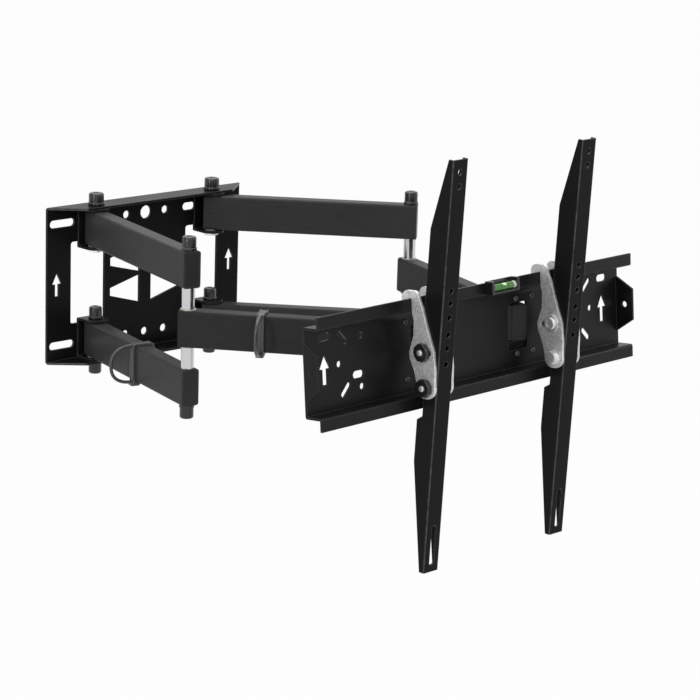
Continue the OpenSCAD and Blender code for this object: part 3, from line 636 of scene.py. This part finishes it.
# Black moulded grip pressed over a bolt's head; its eye shows the end of the bolt.
def addGrip(work, place):
    reach, high, corner, deep = grip["radius"], grip["high"], grip["corner"], grip["lobeDepth"]
    rings = [circle(reach * share, height) for share, height in grip["foot"]]
    rings.append(lobed(reach, grip["lobesFrom"], grip["lobes"], deep))
    rings += [lobed(reach - corner + corner * math.cos(a), high - corner + corner * math.sin(a),
                    grip["lobes"], deep * math.cos(a)) for a in quarter(grip["cornerSteps"])]
    rings += [circle(grip["eye"] + grip["eyeEdge"], high), circle(grip["eye"], high - grip["eyeDeep"])]
    part = bmesh.new()
    skin(part, rings)
    addTo(work, part, place)


# play is the gap in the eye; the steps are a share of the radius and a drop below the top
stud = dict(play=0.0003, foot=0.001, proud=0.0014, tip=0.00002,
            steps=((1, 0.0014), (0.86, 0.0005), (0.5, 0.0001)))


# Bright end of a bolt in the eye of its grip.
def addStud(work, place):
    radius, top = grip["eye"] - stud["play"], grip["high"] + stud["proud"]
    profile = [(radius, stud["foot"])] + [(radius * share, top - drop) for share, drop in stud["steps"]]
    part = bmesh.new()
    lathe(part, profile + [(stud["tip"], top)])
    addTo(work, part, place)


panHead = dict(radius=0.0066, high=0.0042, corner=0.0012, foot=0.96, footHigh=0.0003, socket=0.0070,
               socketDeep=0.0038)


# Round bright head with a socket, over the hexagon of a lock bolt.
def addPanHead(work, place):
    reach, high, socket = panHead["radius"], panHead["high"], panHead["socket"]
    rings = [circle(reach * panHead["foot"], 0), circle(reach, panHead["footHigh"])]
    rings += [circle(radius, height) for radius, height in roundedStep(reach, high, panHead["corner"])]
    part = bmesh.new()
    skin(part, rings + [hexagon(socket, high), hexagon(socket, high - panHead["socketDeep"])])
    addTo(work, part, place)


washer = dict(tilt=0.0078, lock=0.0096, thick=0.0012, chamfer=0.0003, play=0.0002)


def addWasher(work, place, bore, reach):
    thick, chamfer = washer["thick"], washer["chamfer"]
    profile = [(bore, 0), (reach, 0), (reach, thick - chamfer), (reach - chamfer, thick), (bore, thick)]
    part = bmesh.new()
    skin(part, [circle(radius, height, pointsRound["lathed"]) for radius, height in profile], joined=True)
    addTo(work, part, place)


# Adds a small piece that stands on the underside of a bolt's head, towards the head.
def headPiece(name, node, slotName, add, *sizes):
    work = bmesh.new()
    found = boltOf[node]
    add(work, stand(found, found["low"] + found["head"], True), *sizes)
    makePiece(name, work, node, slotName)


for kind in ("Tilt", "Lock"):
    node = "left_" + kind.lower() + "_bolt"
    headPiece("left" + kind + "Grip", node, "black_plastic", addGrip)
    headPiece("left" + kind + "Stud", node, "bright_steel", addStud)
for kind in ("Tilt", "Lock"):
    node = "right_" + kind.lower() + "_bolt"
    bore = boltOf[node]["shank"] + washer["play"]
    headPiece("right" + kind + "Washer", node, "bright_steel", addWasher, bore, washer[kind.lower()])
headPiece("rightLockHead", "right_lock_bolt", "bright_steel", addPanHead)
print("grips made")


buttonHead = dict(tip=0.8, tipHigh=0.0004, foot=0.96, footHigh=0.0003, shoulder=0.9, shoulderHigh=0.62,
                  dome=0.62, socket=0.0030, socketDeep=0.0010)

work = bmesh.new()
shape = buttonHead
for solid in solidsOf("head_bracket_screws"):
    found = measure(solid, headFront)
    shank, reach, under = found["shank"], found["widest"], found["levels"][1]
    top, bottom = found["high"] - under, found["low"] - under
    profile = [(shank * shape["tip"], bottom), (shank, bottom + shape["tipHigh"]), (shank, 0),
               (reach * shape["foot"], 0), (reach, shape["footHigh"]),
               (reach * shape["shoulder"], top * shape["shoulderHigh"]), (reach * shape["dome"], top)]
    part = bmesh.new()
    skin(part, [circle(radius, height) for radius, height in profile]
         + [hexagon(shape["socket"], top), hexagon(shape["socket"], top - shape["socketDeep"])])
    addTo(work, part, stand(found, under))
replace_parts(makePiece("bracketScrews", work, "head_bracket_screws", "bright_steel", bracketScrew),
            "head_bracket_screws")
print("bracket screws made")


# inward is in from the channel's end, up from its middle line and out from its web
channelShape = dict(
    sheet=0.0025, flush=0.0002, smooth=3,
    tab=dict(share=0.72, foot=0.001, inward=0.0035, high=0.032),
    tabHole=dict(out=0.0114, up=0.0003, reach=0.0038),
    arrow=dict(inward=0.028, up=-0.0005, halfWide=0.0085, halfHigh=0.0150, taller=1.17),
    slot=dict(inward=0.028, up=0.033, halfWide=0.0063, halfHigh=0.0045, longer=0.0025),
)


def nearHole(inward, rise, hole):
    return abs(inward - hole["inward"]) < hole["halfWide"] and abs(rise - hole["up"]) < hole["halfHigh"]


# Shallower left tab, taller arrow holes and longer oval slots than those of the CAD node.
work = bmesh.new()
work.from_mesh(frame["nodes"]["tv_channel"].data)
bmesh.ops.remove_doubles(work, verts=work.verts, dist=welded)
spans = [[vert.co.dot(way) for vert in work.verts] for way in (headAxis, headUp)]
middleAlong, middleUp = (middleOf(span) for span in spans)
halfLong = (max(spans[0]) - min(spans[0])) / 2
webLevel = min(vert.co.dot(headFront) for vert in work.verts) + channelShape["sheet"]
tab, tabHole, arrow, slot = (channelShape[name] for name in ("tab", "tabHole", "arrow", "slot"))
for vert in work.verts:
    fromMiddle = vert.co.dot(headAxis) - middleAlong
    inward = halfLong - abs(fromMiddle)
    rise = vert.co.dot(headUp) - middleUp
    out = vert.co.dot(headFront) - webLevel
    onTab = inward < tab["inward"] and out > tab["foot"] and abs(rise) < tab["high"]
    onWeb = out < channelShape["flush"]
    if fromMiddle < 0 and onTab:
        inHole = math.hypot(out - tabHole["out"], rise - tabHole["up"]) < tabHole["reach"]
        depth = tabHole["out"] if inHole else out  # the hole moves whole, so it stays round
        vert.co -= headFront * (depth - tab["foot"]) * (1 - tab["share"])
    elif onWeb and nearHole(inward, rise, arrow):
        vert.co += headUp * (rise - arrow["up"]) * (arrow["taller"] - 1)
    elif onWeb and nearHole(inward, rise, slot):
        outward = math.copysign(slot["longer"], fromMiddle)
        vert.co += headAxis * (outward * (1 if inward < slot["inward"] else -1))
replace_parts(makePiece("tvChannel", work, "tv_channel", "plate_paint", channelCoat, channelShape["smooth"]),
            "tv_channel")
print("channel made")


capShape = dict(play=0.0002, foot=0.0004, lip=0.0028, lipEdge=0.0003, step=0.0007, stepHigh=0.0005,
                corner=0.0022, dimple=0.45, dimpleFoot=0.9, dimpleDeep=0.0006, middle=(0.0005, 0.0009))


def addCap(work, found):
    shape, high, radius = capShape, found["high"] - found["low"], found["widest"]
    top = radius - shape["step"]
    dimple, lip = top * shape["dimple"], shape["lip"]
    middleRadius, middleDeep = shape["middle"]
    profile = [(pinRadius + shape["play"], 0.0), (radius - shape["foot"], 0.0), (radius, shape["foot"]),
               (radius, lip), (radius - shape["lipEdge"], lip + shape["lipEdge"]),
               (top, lip + shape["stepHigh"])]
    profile += roundedStep(top, high, shape["corner"])
    profile += [(dimple, high), (dimple * shape["dimpleFoot"], high - shape["dimpleDeep"]),
                (middleRadius, high - middleDeep)]
    part = bmesh.new()
    lathe(part, profile)
    wideAtLow = found["headAtLow"]
    addTo(work, part, stand(found, found["low"] if wideAtLow else found["high"], not wideAtLow))


for name, node in (("shoulderCaps", "shoulder_caps"), ("shoulderInnerCaps", "shoulder_inner_caps"),
                   ("leftElbowCaps", "left_elbow_caps"), ("rightElbowCaps", "right_elbow_caps")):
    work = bmesh.new()
    for solid in solidsOf(node):
        addCap(work, measure(solid, upAxis))
    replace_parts(makePiece(name, work, node, "black_plastic"), node)
print("caps made")


strap = dict(thick=0.0030, groove=0.0008, grooveSide=0.0004, lip=0.0013, edge=0.0004, corner=0.0040,
             cornerSteps=7, smooth=45)
tooth = dict(long=0.0018, deep=0.0014, high=0.0006, step=0.0036, first=0.009, last=0.006, corner=0.0002)
buckle = dict(drop=0.0015, left=0.0014, right=0.0086, depth=0.0040, corner=0.0007)
buckleRib = dict(count=3, left=0.0004, step=0.0026, wide=0.0011, inset=0.001, under=0.00002, high=0.001,
                 corner=0.0003)
loop = dict(wire=0.0019, squareness=0.82, shorter=0.0008, sunk=0.0006, steps=40, upright=1.5707)


def strapPath(halfWide, halfHigh):
    corner, steps = strap["corner"], strap["cornerSteps"]
    path = []
    for k, (y, z) in enumerate(((1, 1), (-1, 1), (-1, -1), (1, -1))):
        for i in range(steps + 1):
            angle = math.pi / 2 * (k + i / steps)
            out = (math.cos(angle), math.sin(angle))
            centre = (y * (halfWide - corner) + corner * out[0], z * (halfHigh - corner) + corner * out[1])
            path.append((centre, out))
    return path


# Band round the arm with a lip along each side.
def addStrap(work, halfLong, halfWide, halfHigh):
    thick, edge = strap["thick"], strap["edge"]
    inner = halfLong - strap["lip"]
    half = [(halfLong, -thick), (halfLong, -edge), (halfLong - edge, 0), (inner, 0),
            (inner - strap["grooveSide"], -strap["groove"])]
    profile = [(-halfLong, -thick)] + half + [(-u, lift) for u, lift in reversed(half[1:])]
    rings = [[Vector((u, centre[0] + out[0] * lift, centre[1] + out[1] * lift)) for u, lift in profile]
             for centre, out in strapPath(halfWide, halfHigh)]
    part = bmesh.new()
    skin(part, rings, joined=True)
    addTo(work, part)


# Small block with rounded edges between two corners.
def addBlock(work, low, high, corner):
    part = bmesh.new()
    bmesh.ops.create_cube(part, size=1)
    for vert in part.verts:
        vert.co = Vector([low[i] + (vert.co[i] + 0.5) * (high[i] - low[i]) for i in range(3)])
    bmesh.ops.bevel(part, geom=list(part.edges), offset=corner, segments=2, affect="EDGES", profile=0.5)
    addTo(work, part)


# Ratchet teeth down one face of the strap.
def addTeeth(work, side, halfWide, halfHigh):
    face = side * (halfWide - strap["groove"])
    near, far = sorted((face, face + side * tooth["high"]))
    height = -halfHigh + tooth["first"]
    while height < halfHigh - tooth["last"]:
        addBlock(work, (-tooth["long"] / 2, near, height), (tooth["long"] / 2, far, height + tooth["deep"]),
                 tooth["corner"])
        height += tooth["step"]


def addBuckle(work, halfLong, halfWide, halfHigh):
    bottom = -halfHigh - buckle["drop"]
    addBlock(work, (-halfLong, -halfWide - buckle["left"], bottom),
             (halfLong, -halfWide + buckle["right"], bottom + buckle["depth"]), buckle["corner"])
    across = halfLong - buckleRib["inset"]
    for k in range(buckleRib["count"]):
        left = -halfWide - buckleRib["left"] + buckleRib["step"] * k
        addBlock(work, (-across, left, bottom - buckleRib["under"]),
                 (across, left + buckleRib["wide"], bottom + buckleRib["high"]), buckleRib["corner"])


# Open D of round wire; its ends run into the strap's face.
def addLoop(work, halfHigh, reach, foot):
    wire, power, steps = loop["wire"], loop["squareness"], loop["steps"]
    path = []
    for k in range(steps + 1):
        angle = math.pi * k / steps - math.pi / 2
        bulge = (reach - wire) * math.cos(angle) ** power if abs(angle) < loop["upright"] else 0
        rise = math.copysign(abs(math.sin(angle)) ** power, angle)
        path.append(Vector((0, foot - bulge, (halfHigh - wire) * rise)))
    rings = []
    for k, centre in enumerate(path):
        tangent = (path[min(k + 1, steps)] - path[max(k - 1, 0)]).normalized()
        outward = Vector((0, tangent.z, -tangent.y))
        rings.append([centre + wire * (math.cos(angle) * outward + math.sin(angle) * Vector((1, 0, 0)))
                      for angle in turns(pointsRound["wire"])])
    part = bmesh.new()
    skin(part, rings)
    addTo(work, part)


# The clip is drawn in its arm's own directions: along the arm, sideways and up.
def clipPiece(name, node, startJoint, endJoint):
    start, end = (Vector(joints[joint]["pos_m"]) for joint in (startJoint, endJoint))
    along = Vector((end.x - start.x, end.y - start.y, 0)).normalized()
    sideways = upAxis.cross(along)
    points = [vert.co for vert in frame["nodes"][node].data.vertices]
    spans = [[pick(p.dot(way) for p in points) for pick in (min, max)] for way in (along, sideways, upAxis)]
    halfLong = (spans[0][1] - spans[0][0]) / 2
    halfWide = armWide / 2 + strap["thick"]
    halfHigh = (spans[2][1] - spans[2][0] - buckle["drop"]) / 2
    middleAcross, middleUp = spans[1][1] - halfWide, spans[2][1] - halfHigh
    work = bmesh.new()
    addStrap(work, halfLong, halfWide, halfHigh)
    for side in (-1, 1):
        addTeeth(work, side, halfWide, halfHigh)
    addBuckle(work, halfLong, halfWide, halfHigh)
    addLoop(work, halfHigh - loop["shorter"], middleAcross - halfWide - spans[1][0], -halfWide + loop["sunk"])
    place = Matrix((along, sideways, upAxis)).transposed().to_4x4()
    place.translation = along * (spans[0][0] + spans[0][1]) / 2 + sideways * middleAcross + upAxis * middleUp
    work.transform(place)
    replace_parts(makePiece(name, work, node, "clip_plastic", smooth=strap["smooth"]), node)


frontAlong = (Vector(joints["head_swivel"]["pos_m"]) - Vector(joints["left_elbow"]["pos_m"])).normalized()
frontAcross = upAxis.cross(frontAlong)
acrossArm = [vert.co.dot(frontAcross) for vert in frame["nodes"]["left_front_arm"].data.vertices]
armWide = max(acrossArm) - min(acrossArm)
clipPiece("rearClip", "rear_cable_clip", "left_shoulder", "left_elbow")
clipPiece("frontClip", "front_cable_clip", "left_elbow", "head_swivel")
print("cable clips made")


# profiles of the vial's two ends, as a share of its radius and a distance from the end
level = dict(endCap=0.0050, foot=((0.6, 0.0), (0.95, 0.0004), (1, 0.0012)),
             cap=((1.0, 0.0008), (0.9, 0.0002), (0.3, 0)))
line = dict(half=0.00028, fromMiddle=0.0055, inside=0.99, proud=0.00006)
levelBubble = dict(long=0.0048, wide=0.0021, deep=0.0010, under=0.0007, front=0.55, up=0.83,
                   segments=(24, 14), smooth=40)

vialFound = measure([vert.co for vert in frame["nodes"]["level_vial"].data.vertices], headAxis)
tube = vialFound["widest"]
vialLong = vialFound["high"] - vialFound["low"]
capStart = vialLong - level["endCap"]
place = stand(vialFound, vialFound["low"])
part = bmesh.new()
lathe(part, [(tube * share, height) for share, height in level["foot"]] + [(tube, capStart)])
part.transform(place)
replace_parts(makePiece("levelVial", part, "level_vial", "vial"), "level_vial")
part = bmesh.new()
lathe(part, [(tube, capStart)] + [(tube * share, vialLong - drop) for share, drop in level["cap"]])
part.transform(place)
makePiece("levelEnd", part, "level_vial", "nylon", paleCap)
work = bmesh.new()
for way in (-1, 1):  # two black lines round the vial
    centre = vialLong / 2 + way * line["fromMiddle"]
    inside, outside = tube * line["inside"], tube + line["proud"]
    low, high = centre - line["half"], centre + line["half"]
    part = bmesh.new()
    lathe(part, [(inside, low), (outside, low), (outside, high), (inside, high)])
    addTo(work, part, place)
makePiece("levelLines", work, "level_vial", "black_plastic")
part = bmesh.new()
acrossPoints, upPoints = levelBubble["segments"]
bmesh.ops.create_uvsphere(part, u_segments=acrossPoints, v_segments=upPoints, radius=1)
front = (headFront * levelBubble["front"] + headUp.normalized() * levelBubble["up"]).normalized()
side = headAxis.cross(front)
middle = (vialFound["foot"] + headAxis * (vialFound["low"] + vialLong / 2)
          + front * (tube - levelBubble["under"]))
for vert in part.verts:
    x, y, z = vert.co
    vert.co = middle + (headAxis * x * levelBubble["long"] + side * y * levelBubble["wide"]
                        + front * z * levelBubble["deep"])
makePiece("levelBubble", part, "level_vial", "vial", bubbleGreen, levelBubble["smooth"])
print("spirit level made")


white = (1, 1, 1, 1)
stage = dict(drop=1.3, size=60, glow=0.97, noise=(3, 2.0), colours=((0.86, 0.86, 0.86), (0.9, 0.9, 0.9)),
             rough=0.7, ambient=0.35)
lamps = dict(
    overhead=dict(place=(0.3, 0.5, 2.6), wide=2.6, high=2.6, power=70),
    front=dict(place=(-1.6, -3.2, 1.9), wide=1.6, high=1.6, power=26),
    left=dict(place=(-3.1, -0.9, 0.8), wide=0.4, high=2.2, power=27),
    right=dict(place=(2.8, -1.6, 0.9), wide=0.5, high=2.0, power=14),
)

low, high = cadBox
half, depth = stage["size"] / 2, low.z - stage["drop"]
corners = [(x * half, y * half, depth) for x, y in ((-1, -1), (1, -1), (1, 1), (-1, 1))]
mesh = bpy.data.meshes.new("floor")
mesh.from_pydata(corners, [], [(0, 1, 2, 3)])
floor = addToScene("floor", mesh)
pale = Finish("floorPale")
pale.set(Base_Color=pale.mixColour(pale.noise(*stage["noise"]), *stage["colours"]), Roughness=stage["rough"])
glow = pale.node("Emission", {}, {"Color": white, "Strength": 1.0})
blend = pale.node("MixShader", {}, {0: pale.seen() * stage["glow"], 1: pale.shown, 2: glow})
pale.plug(pale.end.inputs["Surface"], blend)
mesh.materials.append(pale.material)

middle = (low + high) / 2
for name, lamp in lamps.items():
    light = bpy.data.lights.new(name, "AREA")
    light.shape = "RECTANGLE"
    light.size, light.size_y = lamp["wide"], lamp["high"]
    light.energy = lamp["power"]
    holder = addToScene(name, light)
    holder.location = lamp["place"]
    holder.rotation_euler = (middle - holder.location).to_track_quat("-Z", "Y").to_euler()

world = bpy.data.worlds.new("studio")
bpy.context.scene.world = world
world.use_nodes = True
sky = Graph(world.node_tree)
dim, full = (sky.node("Background", {}, {"Color": white, "Strength": strength})
             for strength in (stage["ambient"], 1.0))
blend = sky.node("MixShader", {}, {0: sky.seen(), 1: dim, 2: full})
sky.plug(sky.tree.nodes.new("ShaderNodeOutputWorld").inputs["Surface"], blend)
bpy.context.scene.view_settings.view_transform = "Standard"
print("stage and light made")
